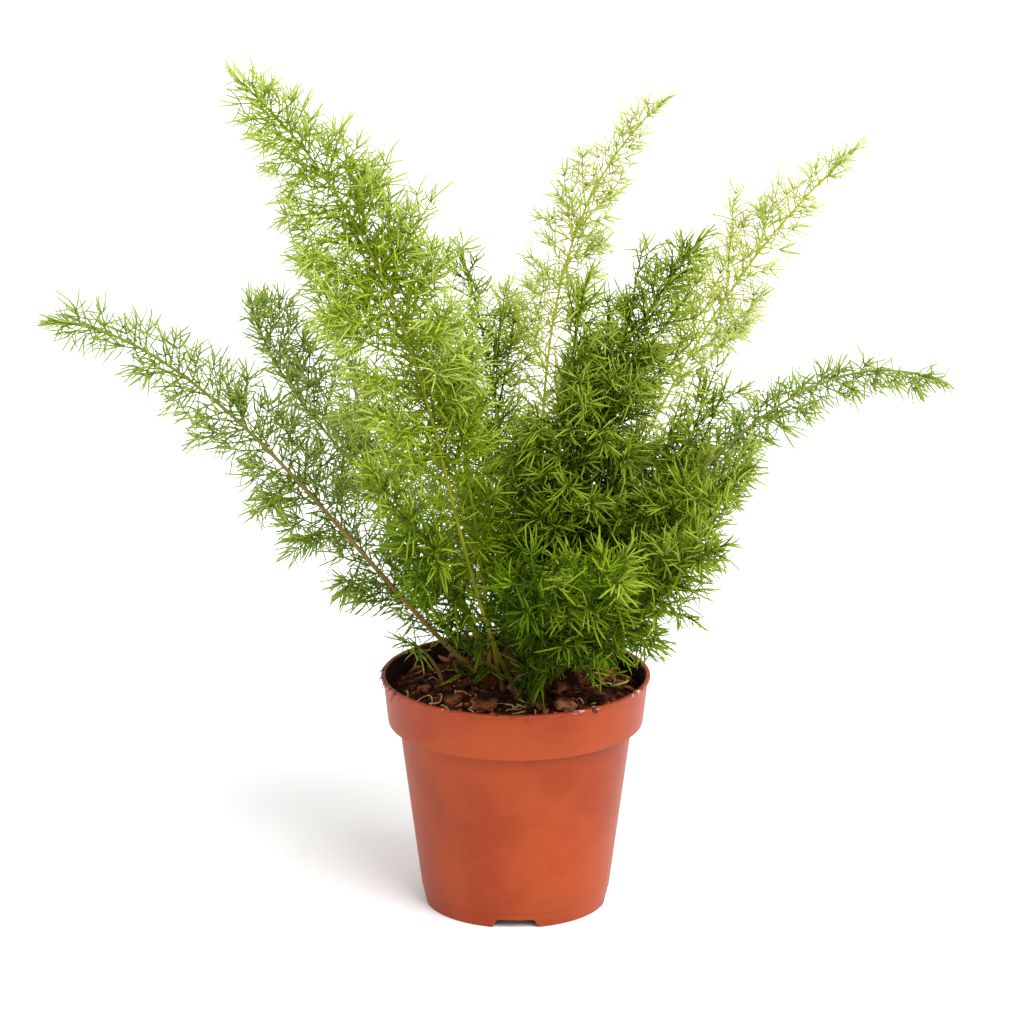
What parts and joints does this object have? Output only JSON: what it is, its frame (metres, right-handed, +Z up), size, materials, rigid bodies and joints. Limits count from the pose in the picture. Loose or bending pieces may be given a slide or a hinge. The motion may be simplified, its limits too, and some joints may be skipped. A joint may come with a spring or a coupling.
{
  "type": "foxtail fern",
  "caption": "Young foxtail fern with feathery needle fronds standing in soil in a round tapered nursery pot with a collar, an open foot ring and drain holes.",
  "frame": {"origin": "centre of the pot's foot, on the surface that it stands on", "axes": "+Z up along the pot's axis; +X to the right seen from the front, along the longest spread of the fronds; -Y towards the front"},
  "size_m": [0.3721, 0.2603, 0.3564],
  "materials": {
    "pot": "satin",
    "soil": "matte",
    "bark": "matte",
    "dry_stem": "matte",
    "fresh_foliage": "satin",
    "pale_foliage": "satin",
    "mid_foliage": "satin",
    "deep_foliage": "satin"
  },
  "bodies": {
    "root": {"pot": "pot", "soil": "soil", "bark_chip_1": "bark", "bark_chip_2": "bark", "bark_chip_3": "bark", "bark_chip_4": "bark", "bark_chip_5": "bark", "bark_chip_6": "bark", "bark_chip_7": "bark", "bark_chip_8": "bark", "bark_chip_9": "bark", "bark_chip_10": "bark", "old_stub": "dry_stem", "frond_low_left": "mid_foliage", "frond_tall_left": "fresh_foliage", "frond_bright_front": "fresh_foliage", "frond_back_light": "pale_foliage", "frond_right_light": "pale_foliage", "frond_low_right": "mid_foliage", "frond_dark_left": "mid_foliage", "frond_dark_left_tall": "mid_foliage", "frond_dark_right": "deep_foliage", "frond_mid_left": "deep_foliage", "frond_centre": "deep_foliage", "frond_right_high": "deep_foliage", "frond_right_front": "deep_foliage", "frond_right_low": "deep_foliage", "frond_front_middle": "deep_foliage", "frond_front_right": "deep_foliage", "frond_front_left": "deep_foliage", "frond_back_left": "deep_foliage", "frond_back_right": "deep_foliage", "frond_back_low_left": "mid_foliage", "frond_back_low_right": "mid_foliage", "frond_sprig_left": "mid_foliage"}
  },
  "joints": []
}
